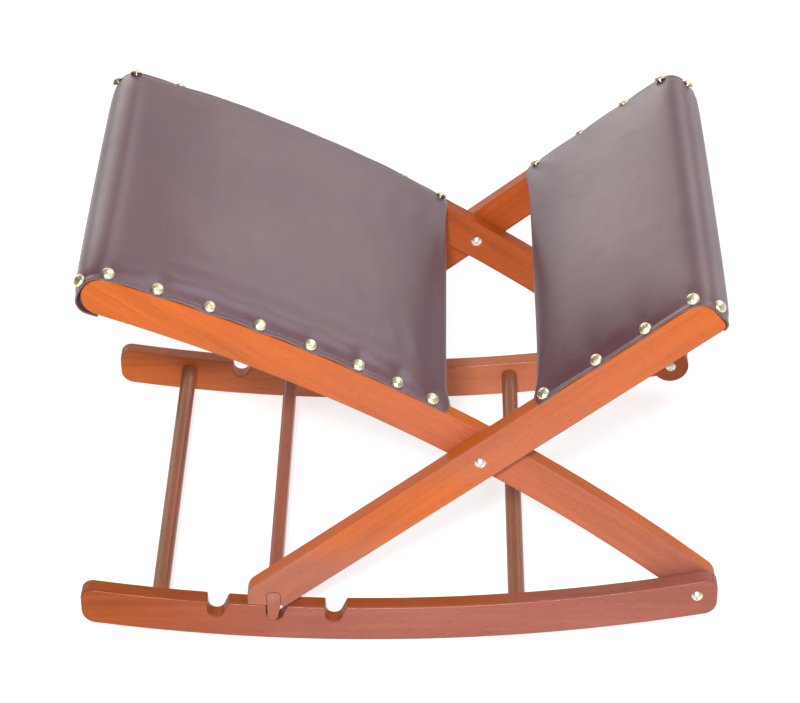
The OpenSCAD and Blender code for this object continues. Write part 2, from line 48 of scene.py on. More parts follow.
MM = 0.001
HALF = 15.6                             # half the bars' width
CROSSING = Vector((63.424, 175.180))    # where the bars cross
BOW_RADIUS = 1408                       # of the inner bars' middle line, and its centre
BOW_CENTRE = Vector((-699.99, -1007.89))
CROSSING_ON_BOW = math.atan2(CROSSING.y - BOW_CENTRE.y, CROSSING.x - BOW_CENTRE.x)
BAR_SLOPE = -37.2                       # the inner bars' chord, in degrees from level
OUTER_SLOPE = 38.536                    # the outer bars
LEATHER = 1.5                           # its thickness


# ---- Small helpers ---------------------------------------------------------------------------

def clear_selection():
    if bpy.context.object and bpy.context.object.mode != "OBJECT":
        bpy.ops.object.mode_set(mode="OBJECT")
    bpy.ops.object.select_all(action="DESELECT")


def choose(piece):
    clear_selection()
    piece.select_set(True)
    bpy.context.view_layer.objects.active = piece


def edit(piece, mode="VERT"):
    choose(piece)
    bpy.ops.object.mode_set(mode="EDIT")
    bpy.ops.mesh.select_mode(type=mode)
    bpy.ops.mesh.select_all(action="DESELECT")
    bpy.ops.object.mode_set(mode="OBJECT")


def apply_modifier(piece, kind, **settings):
    choose(piece)
    modifier = piece.modifiers.new(kind.lower(), kind)
    for name, value in settings.items():
        setattr(modifier, name, value)
    bpy.ops.object.modifier_apply(modifier=modifier.name)


def lerp(first, second, share):
    return first + (second - first) * share


def smooth(low, high, value):
    """0 below low, 1 above high, and an even slope between them."""
    t = min(max((value - low) / (high - low), 0), 1)
    return t * t * (3 - 2 * t)


# ---- Finishes --------------------------------------------------------------------------------

class Value:
    """A number that changes over a surface. Sums on it add Math nodes."""

    def __init__(self, shading, socket):
        self.shading, self.socket = shading, socket

    def sum(self, operation, first, second):
        node = self.shading.node("ShaderNodeMath", {"operation": operation}, {0: first, 1: second})
        return Value(self.shading, node.outputs[0])

    def __add__(self, other):
        return self.sum("ADD", self, other)

    def __mul__(self, other):
        return self.sum("MULTIPLY", self, other)

    def __sub__(self, other):
        return self.sum("SUBTRACT", self, other)

    def __rsub__(self, other):
        return self.sum("SUBTRACT", other, self)

    __radd__, __rmul__ = __add__, __mul__


class Shading:
    """A tree of nodes that ends in a shader."""

    def __init__(self, owner, shader):
        owner.use_nodes = True
        self.tree = owner.node_tree
        self.shader = self.tree.nodes[shader]

    def node(self, kind, settings=None, inputs=None):
        node = self.tree.nodes.new(kind)
        for name, value in (settings or {}).items():
            if name == "stops":
                self.set_stops(node.color_ramp, value)
            else:
                setattr(node, name, value)
        for key, value in (inputs or {}).items():
            self.feed(node.inputs[key], value)
        return node

    def set_stops(self, ramp, stops):
        while len(ramp.elements) < len(stops):
            ramp.elements.new(0.5)
        for element, (place, colour) in zip(ramp.elements, stops):
            element.position = place
            element.color = (*colour, 1)

    def feed(self, socket, value):
        if isinstance(value, Value):
            value = value.socket
        if isinstance(value, bpy.types.NodeSocket):
            self.tree.links.new(value, socket)
        else:
            socket.default_value = (*value, 1) if socket.type == "RGBA" else value

    def give(self, **varying):
        for socket, value in varying.items():
            self.feed(self.shader.inputs[socket.replace("_", " ")], value)

    def step(self, value, low, high):
        """0 below low and 1 above high."""
        node = self.node("ShaderNodeMapRange", {"interpolation_type": "SMOOTHSTEP"}, {
            "Value": value, "From Min": low, "From Max": high})
        return Value(self, node.outputs["Result"])

    def between(self, value, rise, fall):
        """1 between two slopes, each given by where it starts and ends, and 0 outside them."""
        return self.step(value, *rise) * (1 - self.step(value, *fall))

    def axes(self, where):
        """The three parts of a place or direction."""
        parts = self.node("ShaderNodeSeparateXYZ", inputs={0: where}).outputs
        return [Value(self, part) for part in parts]

    def shades(self, value, stops):
        ramp = self.node("ShaderNodeValToRGB", {"stops": stops}, {"Fac": value})
        return ramp.outputs["Color"]

    def mix(self, share, first, second, how="MIX"):
        node = self.node("ShaderNodeMix", {"data_type": "RGBA", "blend_type": how}, {
            0: share, 6: first, 7: second})
        return node.outputs[2]


class Finish(Shading):
    """A material, its nodes and its main shader."""

    def __init__(self, name, **fixed):
        self.material = bpy.data.materials.new(name)
        super().__init__(self.material, "Principled BSDF")
        for socket, value in fixed.items():
            self.shader.inputs[socket.replace("_", " ")].default_value = value

    def place(self, turn=(0, 0, 0)):
        """Object coordinates, turned in degrees."""
        coordinates = self.node("ShaderNodeTexCoord").outputs["Object"]
        turned = self.node("ShaderNodeMapping", inputs={
            "Vector": coordinates, "Rotation": [math.radians(angle) for angle in turn]})
        return turned.outputs["Vector"]

    def noise(self, where, scale=1.0, detail=2.0, roughness=0.5, distortion=0.0):
        node = self.node("ShaderNodeTexNoise", inputs={
            "Vector": where, "Scale": scale, "Detail": detail,
            "Roughness": roughness, "Distortion": distortion})
        return Value(self, node.outputs["Fac"])

    def grain(self, along, lengthwise, crosswise, **settings):
        """Noise drawn out along the grain, with so many cells to a metre along and across it."""
        node = self.node("ShaderNodeMapping", inputs={
            "Vector": along, "Scale": (lengthwise, crosswise, crosswise)})
        return self.noise(node.outputs["Vector"], **settings)

    def relief(self, height, depth):
        """Bumps of a height from 0 to 1 and a depth in metres."""
        node = self.node("ShaderNodeBump", inputs={
            "Height": height, "Distance": depth, "Strength": 1.0})
        return node.outputs["Normal"]


def shade(colour, factor):
    return tuple(channel * factor for channel in colour)


X_AXIS, Z_AXIS = 0, 2
ACROSS = (0, 0, 90)         # turns the grain across the stool
# where a board's front face is paled with painted sheen, a painted reflection of the pale floor in
# the lacquer: a place along it where that is whole, one where it ends, and its share
BAR_SHEEN_FADES = ((0.16, 0.36, 0.45), (0.03, 0.13, 0.55))
OUTER_SHEEN_FADES = ((0.20, 0.38, 0.50), (0.165, 0.20, -0.35), (0.095, 0.15, 0.65))
ROCKER_SHEEN_FADES = ((-0.02, -0.21, 1),)


def lacquered_wood(name, colour, turn, faded, board, sheen_fades=BAR_SHEEN_FADES, axis=Z_AXIS, top=None):
    """Satin-lacquered cherry. turn is the angle of the grain above level in the side view.

    The front face of the board is paled towards the sheen colour by its sheen fades along the axis.
    This is painted sheen, a painted reflection of the pale floor in the lacquer. On a rocker the
    other faces are paled with painted sheen as well, from the one place along it to the other
    that top gives.
    """
    finish = Finish(name, Coat_Roughness=0.14, Specular_IOR_Level=0.14)
    places = finish.axes(finish.place())
    place = places[axis]
    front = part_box(board)[0].y
    on_front = 1 - finish.step(places[1], front + 0.0006, front + 0.004)
    along = finish.place(turn=(0, turn, 0))
    broad = finish.grain(along, 5, 38, detail=3, distortion=0.6)
    streaks = finish.grain(along, 9, 260, detail=4, roughness=0.6, distortion=0.35)
    pores = finish.grain(along, 160, 1150, detail=2, roughness=0.65)
    cloud = finish.noise(along, scale=14, detail=2)
    fleck = finish.step(pores, 0.56, 0.70)
    tone = broad * 0.45 + streaks * 0.4 + cloud * 0.15
    warm = finish.shades(tone, [
        (0.30, shade(colour, 0.70)), (0.50, colour), (0.70, shade(colour, 1.18))])
    # painted sheen: a paler, greyer copy of the wood that stands in for the floor's reflection
    painted_sheen = finish.shades(tone, [(0.30, shade(faded, 0.76)), (0.70, shade(faded, 1.18))])
    wear_and_sheen = 0
    for whole, none, share in sheen_fades:
        wear_and_sheen = (1 - finish.step(place + cloud * 0.05, whole, none)) * share + wear_and_sheen
    wear_and_sheen = wear_and_sheen * on_front
    # on a rocker, painted sheen on its other faces as well, standing in for the room's reflection
    # on its top
    if top:
        wear_and_sheen = wear_and_sheen + (1 - on_front) * finish.step(place, *top)
    base = finish.mix(wear_and_sheen, warm, painted_sheen)
    finish.give(
        Base_Color=finish.mix(fleck * 0.35, base, shade(colour, 0.45)),
        Roughness=0.42 + streaks * 0.12,
        Coat_Weight=0.06 + cloud * 0.1,
        Normal=finish.relief(streaks * 0.4 - fleck * 0.6, 0.00006))
    return finish.material


def across_wood(name, colour, end=None):
    """The same wood in the dowels and the stretcher, whose grain runs across the stool.

    end is a piece, a colour and two heights: the piece's front end is paled to the colour as
    painted sheen, a painted reflection of the pale floor, from nothing at the one height to wholly
    at the other.
    """
    finish = Finish(name, Coat_Roughness=0.16, Specular_IOR_Level=0.3)
    along = finish.place(turn=ACROSS)
    streaks = finish.grain(along, 7, 300, detail=4, roughness=0.6, distortion=0.3)
    pores = finish.grain(along, 150, 1200, detail=2)
    cloud = finish.noise(along, scale=16, detail=3)
    fleck = finish.step(pores, 0.56, 0.70)
    warm = finish.shades(streaks * 0.6 + cloud * 0.4, [
        (0.30, shade(colour, 0.72)), (0.50, colour), (0.72, shade(colour, 1.2))])
    if end:
        piece, wear_and_sheen, low, high = end
        _, y, z = finish.axes(finish.place())
        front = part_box(piece)[0].y
        on_end = (1 - finish.step(y, front + 0.0006, front + 0.002)) * finish.step(z, low, high)
        # painted sheen on the front end, matching the painted reflection on the rockers beside it
        painted_sheen = finish.shades(streaks, [(0.30, shade(wear_and_sheen, 0.8)), (0.70, shade(wear_and_sheen, 1.1))])
        warm = finish.mix(on_end, warm, painted_sheen)
    finish.give(
        Base_Color=finish.mix(fleck * 0.4, warm, shade(colour, 0.4)),
        Roughness=0.40 + streaks * 0.15,
        Coat_Weight=0.15 + cloud * 0.1,
        Normal=finish.relief(streaks * 0.5 - fleck * 0.5, 0.00008))
    return finish.material


def bare_wood(name, colour):
    """Planed, unfinished wood for the rails and pins that the rests hide."""
    finish = Finish(name)
    along = finish.place(turn=ACROSS)
    rings = finish.grain(along, 6, 170, detail=4, distortion=0.5)
    fibres = finish.grain(along, 60, 1400, detail=2)
    finish.give(
        Base_Color=finish.shades(rings * 0.7 + fibres * 0.3, [
            (0.32, shade(colour, 0.72)), (0.52, colour), (0.72, shade(colour, 1.18))]),
        Roughness=0.62 + fibres * 0.2,
        Normal=finish.relief(rings * 0.5 + fibres * 0.5, 0.0001))
    return finish.material


def satin_leather(name, colour):
    """Dyed leather with a fine grain, a soft shine and slightly cloudy dye."""
    finish = Finish(name, Coat_Roughness=0.28, Sheen_Weight=0.05, Sheen_Roughness=0.5,
                    Sheen_Tint=(0.80, 0.74, 0.86, 1), Specular_IOR_Level=0.9)
    where = finish.place()
    cloud = finish.noise(where, scale=9, detail=3, roughness=0.55)
    mottle = finish.noise(where, scale=95, detail=3, roughness=0.6)
    cells = finish.node("ShaderNodeTexVoronoi", {"feature": "SMOOTH_F1"}, {
        "Vector": where, "Scale": 900, "Smoothness": 0.6})
    pebbles = Value(finish, cells.outputs["Distance"])
    fine = finish.noise(where, scale=1700, detail=2)
    drawn = finish.noise(where, scale=26, detail=2, distortion=0.8)
    finish.give(
        Base_Color=finish.shades(cloud * 0.55 + mottle * 0.3 + fine * 0.15, [
            (0.30, shade(colour, 0.84)), (0.50, colour), (0.70, shade(colour, 1.16))]),
        Roughness=0.40 + mottle * 0.12 - cloud * 0.08,
        Coat_Weight=0.05 + cloud * 0.05,
        Normal=finish.relief(pebbles * 0.5 + fine * 0.2 + drawn * 2.4, 0.00016))
    return finish.material


def cut_leather(name, colour):
    """The raw edge of the leather, paler and rougher than its face."""
    finish = Finish(name)
    where = finish.place()
    fibres = finish.noise(where, scale=700, detail=3)
    finish.give(
        Base_Color=finish.shades(fibres, [(0.3, shade(colour, 0.75)), (0.7, shade(colour, 1.2))]),
        Roughness=0.7 + fibres * 0.2,
        Normal=finish.relief(fibres, 0.0001))
    return finish.material


def brass(name, colour):
    """Domed brass, a little dulled, with faint dents."""
    finish = Finish(name, Metallic=1.0)
    where = finish.place()
    dull = finish.noise(where, scale=120, detail=3)
    dents = finish.noise(where, scale=420, detail=1)
    finish.give(
        Base_Color=finish.shades(dull, [(0.3, shade(colour, 0.72)), (0.7, colour)]),
        Roughness=0.30 + dull * 0.16,
        Normal=finish.relief(dents, 0.00035))
    return finish.material


def plated_steel(name, colour, roughness):
    """Plated steel, faintly brushed."""
    finish = Finish(name, Metallic=1.0)
    where = finish.place()
    brushed = finish.noise(where, scale=900, detail=2)
    wear_and_sheen = finish.noise(where, scale=150, detail=3)
    finish.give(
        Base_Color=finish.shades(wear_and_sheen, [(0.3, shade(colour, 0.8)), (0.7, colour)]),
        Roughness=roughness + brushed * 0.15,
        Normal=finish.relief(brushed, 0.00003))
    return finish.material


def plywood(name, colour):
    """Rotary-cut ply: long, wavy figure across the stool."""
    finish = Finish(name)
    along = finish.place(turn=ACROSS)
    figure = finish.grain(along, 5, 40, detail=4, distortion=1.4)
    fibres = finish.grain(along, 50, 1300, detail=2)
    finish.give(
        Base_Color=finish.shades(figure * 0.75 + fibres * 0.25, [
            (0.35, shade(colour, 0.75)), (0.5, colour), (0.65, shade(colour, 1.15))]),
        Roughness=0.6 + fibres * 0.2,
        Normal=finish.relief(fibres, 0.0001))
    return finish.material


CHERRY = (0.49, 0.104, 0.012)
SHADED_FAR_CHERRY = (0.36, 0.064, 0.006)       # darker for the far bars: painted shade, for the rests' shade over them
# the far outer bar is darkened too, as painted shade
SHADED_FAR_OUTER_CHERRY = (0.44, 0.074, 0.005)
ROCKER_CHERRY = (0.31, 0.062, 0.010)
# lighter than the near rocker: painted light, so that the far rocker reads as lit
LIT_FAR_ROCKER_CHERRY = (0.42, 0.090, 0.016)
# paler colours for the painted sheen on the boards: a painted reflection of the pale floor in the
# lacquer
SHEEN_ON_ROCKER = (0.31, 0.096, 0.066)
SHEEN_ON_BAR = (0.29, 0.115, 0.100)
SHEEN_ON_OUTER_BAR = (0.34, 0.125, 0.088)
# the far bars' painted sheen is darker as well: painted shade
SHADED_FAR_BAR_SHEEN = (0.32, 0.078, 0.022)
# the far rocker's painted sheen is lighter too: painted light
LIT_FAR_ROCKER_SHEEN = (0.45, 0.140, 0.064)
STRETCHER_END_SHEEN = (0.36, 0.128, 0.082)
FINISHES = {
    "near_rocker": lacquered_wood(
        "near_rocker_cherry", ROCKER_CHERRY, 0, SHEEN_ON_ROCKER, "near_rocker",
        ROCKER_SHEEN_FADES, X_AXIS, top=(0.04, 0.14)),
    "far_rocker": lacquered_wood(
        "far_rocker_cherry", LIT_FAR_ROCKER_CHERRY, 0, LIT_FAR_ROCKER_SHEEN, "far_rocker",
        ROCKER_SHEEN_FADES, X_AXIS, top=(-0.30, -0.26)),
    "near_inner_bar": lacquered_wood(
        "near_inner_bar_cherry", CHERRY, BAR_SLOPE, SHEEN_ON_BAR, "near_inner_bar"),
    "near_outer_bar": lacquered_wood(
        "near_outer_bar_cherry", CHERRY, OUTER_SLOPE, SHEEN_ON_OUTER_BAR, "near_outer_bar",
        OUTER_SHEEN_FADES),
    # the far bars take darker colours than the near ones: painted shade
    "far_inner_bar": lacquered_wood(
        "far_inner_bar_cherry", SHADED_FAR_CHERRY, BAR_SLOPE, SHADED_FAR_BAR_SHEEN, "far_inner_bar"),
    "far_outer_bar": lacquered_wood(
        "far_outer_bar_cherry", SHADED_FAR_OUTER_CHERRY, OUTER_SLOPE, SHADED_FAR_BAR_SHEEN, "far_outer_bar"),
    # the dowels' colour is darker than the bars': painted shade, for the shade they lie in beneath
    # the rests
    "dowels": across_wood("dowel_cherry", (0.26, 0.085, 0.034)),
    "stretcher": across_wood("stretcher_cherry", (0.30, 0.085, 0.045),
                             end=("stretcher", STRETCHER_END_SHEEN, 0.036, 0.044)),
    "rails": bare_wood("rail_wood", (0.60, 0.42, 0.25)),
    "pins": bare_wood("pin_wood", (0.66, 0.48, 0.30)),
    "panels": plywood("panel_ply", (0.62, 0.46, 0.28)),
    "leather": satin_leather("oxblood_leather", (0.096, 0.035, 0.041)),
    "hem": cut_leather("cut_leather", (0.16, 0.105, 0.115)),
    "brass": brass("nail_brass", (1.0, 0.92, 0.60)),
    "steel": plated_steel("bolt_steel", (0.92, 0.88, 0.76), 0.30),
    "washers": plated_steel("washer_steel", (0.45, 0.45, 0.47), 0.35),
}


def dress(finish, *names):
    """Gives CAD pieces their finish and leaves their shape as it is."""
    for name in names:
        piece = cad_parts[name]
        for slot in piece.material_slots:
            slot.link = "OBJECT"
            slot.material = FINISHES[finish]


dress("dowels", "left_cross_dowel", "right_cross_dowel")
dress("steel", "pivot_bolts", "pivot_nuts", "scissor_bolts", "scissor_nuts")
dress("washers", "pivot_washers", "scissor_washers")
dress("rails", "inner_top_rail", "inner_lower_rail", "outer_top_rail", "outer_lower_rail")
dress("pins", "inner_rail_pins", "outer_rail_pins")
dress("panels", "large_rest_panel", "small_rest_panel")


# ---- Boards with eased edges -----------------------------------------------------------------

BORE_SPAN = 0.03        # outlines smaller than this are bores, and keep their sharp edges
BOARD_EASE = 1.2        # the radius of a board's long edges
STRETCHER_EASE = 0.12


def outline_edges(mesh, faces_y):
    """The edges round a board's two flat faces, without those of its bores."""
    walls = {}
    for polygon in mesh.polygons:
        for key in polygon.edge_keys:
            walls.setdefault(key, []).append(abs(polygon.normal.y))
    places = [vertex.co for vertex in mesh.vertices]
    rim = [key for key, tilts in walls.items()
           if len(tilts) == 2 and max(tilts) > 0.99 and min(tilts) < 0.5
           and all(min(abs(places[i].y - y) for y in faces_y) < 1e-5 for i in key)]
    near = {}
    for key in rim:
        for i in key:
            near.setdefault(i, set()).update(key)
    loops, seen = [], set()
    for first in near:
        if first in seen:
            continue
        loop, waiting = set(), [first]
        while waiting:
            i = waiting.pop()
            if i not in loop:
                loop.add(i)
                waiting.extend(near[i])
        seen |= loop
        spans = [max(places[i][axis] for i in loop) - min(places[i][axis] for i in loop)
                 for axis in (X_AXIS, Z_AXIS)]
        if max(spans) > BORE_SPAN:
            loops.append(loop)
    kept = set().union(*loops)
    return {tuple(sorted(key)) for key in rim if key[0] in kept}


def eased_board(node, name, body, finish, ease=BOARD_EASE):
    """A copy of a board whose long edges are rounded, as with a router and sandpaper."""
    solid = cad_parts[node]
    board = bpy.data.objects.new(name, solid.data.copy())
    bpy.context.scene.collection.objects.link(board)
    edit(board)
    bpy.ops.object.mode_set(mode="EDIT")
    bpy.ops.mesh.select_all(action="SELECT")
    bpy.ops.mesh.remove_doubles(threshold=0.00012)
    bpy.ops.mesh.dissolve_limited(angle_limit=math.radians(0.3))
    bpy.ops.mesh.normals_make_consistent(inside=False)
    bpy.ops.mesh.select_all(action="DESELECT")
    bpy.ops.object.mode_set(mode="OBJECT")
    low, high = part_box(node)
    rim = outline_edges(board.data, (low.y, high.y))
    for edge in board.data.edges:
        edge.select = tuple(sorted(edge.vertices)) in rim
    bpy.ops.object.mode_set(mode="EDIT")
    bpy.ops.mesh.select_mode(type="EDGE")
    bpy.ops.mesh.bevel(offset=ease * MM, segments=3, profile=0.5, clamp_overlap=False)
    bpy.ops.object.mode_set(mode="OBJECT")
    bpy.ops.object.shade_smooth_by_angle(angle=math.radians(32))
    apply_modifier(board, "WEIGHTED_NORMAL", keep_sharp=True)
    board.data.materials.clear()
    board.data.materials.append(FINISHES[finish])
    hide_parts(node)
    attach(board, body)


for side in ("near", "far"):
    for part, body, slot in (("rocker", "base", "rocker_wood"),
                             ("inner_bar", "inner_frame", "frame_wood"),
                             ("outer_bar", "outer_frame", "frame_wood")):
        node = f"{side}_{part}"
        eased_board(node, f"{node}_board", body, node)
eased_board("stretcher", "stretcher_bar", "outer_frame", "stretcher", STRETCHER_EASE)


# ---- Leather rests ---------------------------------------------------------------------------

class Profile:
    """A side-view line of straights and turns, in a bar's own frame.

    That is along the bar, and out of its upper edge.
    """

    def __init__(self, start, heading, *parts):
        self.parts = []
        point, angle, done = Vector(start), math.radians(heading), 0
        for length, turn in parts:
            self.parts.append((done, length, turn, point.copy(), angle))
            point, angle = self.along(self.parts[-1], length)
            done += length
        self.length = done

    @staticmethod
    def along(part, distance):
        _, length, turn, point, angle = part
        if not turn:
            return point + distance * Vector((math.cos(angle), math.sin(angle))), angle
        radius = length / math.radians(turn)
        after = angle + math.radians(turn) * distance / length
        side = Vector((-math.sin(angle), math.cos(angle)))
        end_side = Vector((-math.sin(after), math.cos(after)))
        return point + radius * side - radius * end_side, after

    def at(self, distance):
        """The place and the outward direction at a distance along the line."""
        part = [part for part in self.parts if part[0] <= max(distance, 0)][-1]
        point, angle = self.along(part, distance - part[0])
        return point, Vector((-math.sin(angle), math.cos(angle)))


def turned(radius, degrees):
    """A clockwise turn, for a Profile."""
    return abs(radius * math.radians(degrees)), -degrees


def on_bow(point):
    """From the inner bars' own frame, bowed, to the stool's."""
    angle = CROSSING_ON_BOW + point.x / BOW_RADIUS
    return BOW_CENTRE + (BOW_RADIUS + point.y) * Vector((math.cos(angle), math.sin(angle)))


def on_outer_bar(point):
    """From the outer bars' own frame to the stool's."""
    angle = math.radians(OUTER_SLOPE)
    return CROSSING + point.x * Vector((math.cos(angle), math.sin(angle))) \
        + point.y * Vector((-math.sin(angle), math.cos(angle)))


FOLD = 3                        # radius of the leather's bend over the lower edge
FOLD_LENGTH = FOLD * math.pi / 2
COVER = HALF + 0.8              # the leather's middle on the bars, from their middle line
FLAP_END = -13.6                # how far down the flap goes at the rests' lower ends
RISE_TO_FOLD = COVER - FOLD - FLAP_END
BOARD = 14                      # the bars' thickness, and the nails stand in its middle
PAST_BARS = 0.9                 # how far the leather's sides stand past the bars' outer faces
FULL_GAP = 40                   # between nails this far apart the hem stands up fully
END_GAPS = 28, 30               # the gaps that count before the first and after the last nail
NAIL_REACH = 6.5                # how far along the hem a nail pulls the leather down
DIMPLE_PLACE, DIMPLE_WIDTH = 9, 6       # of the dimple behind a nail, in from the nails' line
LOOSENESS = 1, 0.2              # how far the hem stands up, near and far
FLARE = 3.4, 1.6                # how far the lower corners stand out, near and far
LOWER_SWELL = 20                # over which the padding swells from the lower edge
ROLL_FALL = 0.8                 # how much of the crown is gone at the roll, from before the
ROLL_FALL_FROM, ROLL_FALL_TO = -75, 30      # top's end to after it
FALL_ACROSS = 0.16              # how much of the crown is gone from the middle to the nails
LEAST_HOLD = 0.15               # how firmly the filling holds the leather everywhere


class Rest:
    """One leather rest: its line in the side view, its width and its nails.

    It is in millimetres. Of each pair, the first is for the near side and the second for the far.
    """

    def __init__(self, name, place, lower, upper, end_parts, half_width, crown, shoulders,
                 nails, roll_nail, tightness):
        self.name, self.place, self.half_width = name, place, half_width
        self.top_start = RISE_TO_FOLD + FOLD_LENGTH
        top_length = upper - (lower - LEATHER / 2 + FOLD)
        self.top_end = self.top_start + top_length
        self.fold_start = self.top_start - FOLD_LENGTH
        self.profile = Profile(
            (lower - LEATHER / 2, FLAP_END), 90,
            (RISE_TO_FOLD, 0), turned(FOLD, 90), (top_length, 0), *end_parts)
        self.inside = half_width - BOARD
        self.nail_line = half_width - BOARD / 2
        self.crown, self.tightness = crown, tightness
        self.shoulders = shoulders                  # how soon the padding swells
        # each nail's place along the line
        self.nails = [sorted(self.top_end - (upper - along) for along in side)
                      + [self.top_end + roll_nail] for side in nails]

    def nearest_nails(self, side, distance):
        """The nearer nail, the width of the gap between nails, and the place in it from 0 to 1."""
        stations = self.nails[side]
        before_first, after_last = END_GAPS
        if distance <= stations[0]:
            return 0, before_first, min((stations[0] - distance) / before_first, 0.5)
        if distance >= stations[-1]:
            share = min((distance - stations[-1]) / after_last, 0.5)
            return len(stations) - 1, after_last, share
        after = next(i for i, station in enumerate(stations) if station >= distance)
        gap = stations[after] - stations[after - 1]
        share = (distance - stations[after - 1]) / gap
        return (after if share > 0.5 else after - 1), gap, share

    def padding(self, side, distance, across, drawn_in):
        """How far the filling lifts the leather.

        It swells steeply behind the nails, which draw it in, and more softly from the lower edge
        and the roll.
        """
        inward = max(self.nail_line - across - drawn_in + 1, 0)
        steep, gentle = self.shoulders[side]
        swell = 1 - 0.55 * math.exp(-inward / steep) - 0.45 * math.exp(-inward / gentle)
        lengthwise = (1 - math.exp(-max(distance - self.top_start + 3, 0) / LOWER_SWELL)) \
            * (1 - ROLL_FALL * smooth(
                self.top_end + ROLL_FALL_FROM, self.top_end + ROLL_FALL_TO, distance))
        return self.crown * swell * lengthwise \
            * (1 - FALL_ACROSS * (across / self.nail_line) ** 2)

    def on_line(self, distance, across):
        """The place and the outward direction on the line, and how far the leather sinks there.

        On the bars the leather runs straight on where it turns down between them.
        """
        point, normal = self.profile.at(distance)
        on_bar = smooth(self.inside - 4, self.inside + 1.5, across)
        if distance >= self.top_start or not on_bar:
            return point, normal, 0
        short = min((self.top_start - distance) / FOLD_LENGTH, 1)
        corner = smooth(self.nail_line, self.half_width + 1, across)
        level, upright = self.profile.at(self.top_start)
        level = level - Vector((short * (FOLD + 0.3 - 1.6 * corner), 0))
        sunk = on_bar * short * (0.3 + 1.2 * corner)
        return lerp(point, level, on_bar), lerp(normal, upright, on_bar), sunk

    def flare(self, distance, across):
        """How far the leather stands out below, from 0 to 1, which is mostly at the bars."""
        at_bars = math.exp(-((across - self.inside + 1) / 9) ** 2)
        out = at_bars + 0.15 * smooth(self.inside - 75, self.inside, across)
        out *= (1 - smooth(self.top_start, self.top_start + 16, distance)) \
            * smooth(self.fold_start - 12, self.fold_start, distance)
        return out

    def surface(self, distance, y):
        """The leather's middle at a distance along the line and a place across."""
        side = 0 if y < 0 else 1
        across = abs(y)
        nail, gap, share = self.nearest_nails(side, distance)
        slack = 4 * share * (1 - share) * min(gap / FULL_GAP, 1)    # 0 at the nails, 1 between
        pull = self.tightness[side][nail] \
            * math.exp(-(min(share, 1 - share) * gap / NAIL_REACH) ** 2)
        on_top = smooth(self.top_start - 6, self.top_start + 10, distance) \
            * (1 - smooth(self.top_end, self.top_end + 12, distance))
        rise = self.padding(side, distance, across, on_top * (1.5 * pull - slack))
        rise -= on_top * pull \
            * math.exp(-((self.nail_line - across - DIMPLE_PLACE) / DIMPLE_WIDTH) ** 2)
        # the hem stands up and draws back between the nails, and lies down at them
        hem = smooth(self.nail_line + 1, self.half_width + 1, across)
        loose = LOOSENESS[side]
        lift = hem * slack * (0.4 + 0.6 * on_top) * loose
        rise += 1.2 * lift - hem * (1 - slack) * 0.7
        outward = -lift - (1 - loose) * 1.4 * hem
        point, normal, sunk = self.on_line(distance, across)
        out = FLARE[side] * self.flare(distance, across)
        point = self.place(point + (rise - sunk) * normal - Vector((out, 0)))
        return MM * Vector((point.x, math.copysign(across + outward, y), point.y))

    def hold(self, distance, y):
        """How firmly a point is held, from 0 to 1: by the nails and at the leather's ends."""
        side = 0 if y < 0 else 1
        across = abs(y)
        _, gap, share = self.nearest_nails(side, distance)
        off_nail = min(share, 1 - share) * gap
        under_nail = smooth(self.nail_line - 7, self.nail_line - 4, across) \
            * (1 - smooth(4, 8, off_nail))
        at_hem = 0.75 * smooth(self.nail_line - 3, self.nail_line + 5, across)
        flap = 1 - smooth(RISE_TO_FOLD * 0.4, RISE_TO_FOLD - 1, distance)
        roll_end = smooth(self.profile.length - 9, self.profile.length - 5, distance)
        on_roll = 0.7 * smooth(self.top_end - 4, self.top_end + 8, distance)
        return max(under_nail, at_hem, flap, roll_end, on_roll, LEAST_HOLD)


def stations(end, *spans):
    """Places up to the end, each span of them given by its start and its step."""
    places = []
    ends = [start for start, _ in spans[1:]] + [end]
    for (low, step), high in zip(spans, ends):
        count = max(round((high - low) / step), 1)
        places += [low + (high - low) * i / count for i in range(count)]
    return places + [end]


def cover(rest):
    """The rest's leather as one sheet, finer at its hems and fold, cut out at its lower corners."""
    half = stations(rest.half_width + PAST_BARS,
                    (0, 6), (rest.inside - 30, 4), (rest.inside - 6, 1.75))
    columns = [-y for y in reversed(half[1:])] + half
    rows = stations(rest.profile.length, (0, 5), (rest.fold_start, 1.2), (rest.top_start, 2.8))
    last_row, last_column = len(rows) - 1, len(columns) - 1
    clear_selection()
    bpy.ops.mesh.primitive_grid_add(x_subdivisions=last_row, y_subdivisions=last_column, size=2)
    sheet = bpy.context.object
    sheet.name = sheet.data.name = rest.name
    held = sheet.vertex_groups.new(name="held")
    places = []
    for vertex in sheet.data.vertices:
        distance = rows[round((vertex.co.x + 1) / 2 * last_row)]
        y = columns[round((vertex.co.y + 1) / 2 * last_column)]
        places.append((distance, y))
        vertex.co = rest.surface(distance, y)
        held.add([vertex.index], rest.hold(distance, y), "REPLACE")
    # the flap goes down between the bars only
    edit(sheet, "FACE")
    for face in sheet.data.polygons:
        distance = sum(places[i][0] for i in face.vertices) / 4
        across = sum(abs(places[i][1]) for i in face.vertices) / 4
        face.select = distance < rest.fold_start and across > rest.inside - 0.6
    bpy.ops.object.mode_set(mode="EDIT")
    bpy.ops.mesh.delete(type="FACE")
    bpy.ops.object.mode_set(mode="OBJECT")
    return sheet


SETTLING_FRAMES = 20
FURTHEST = 4            # no point of the leather moves further than this


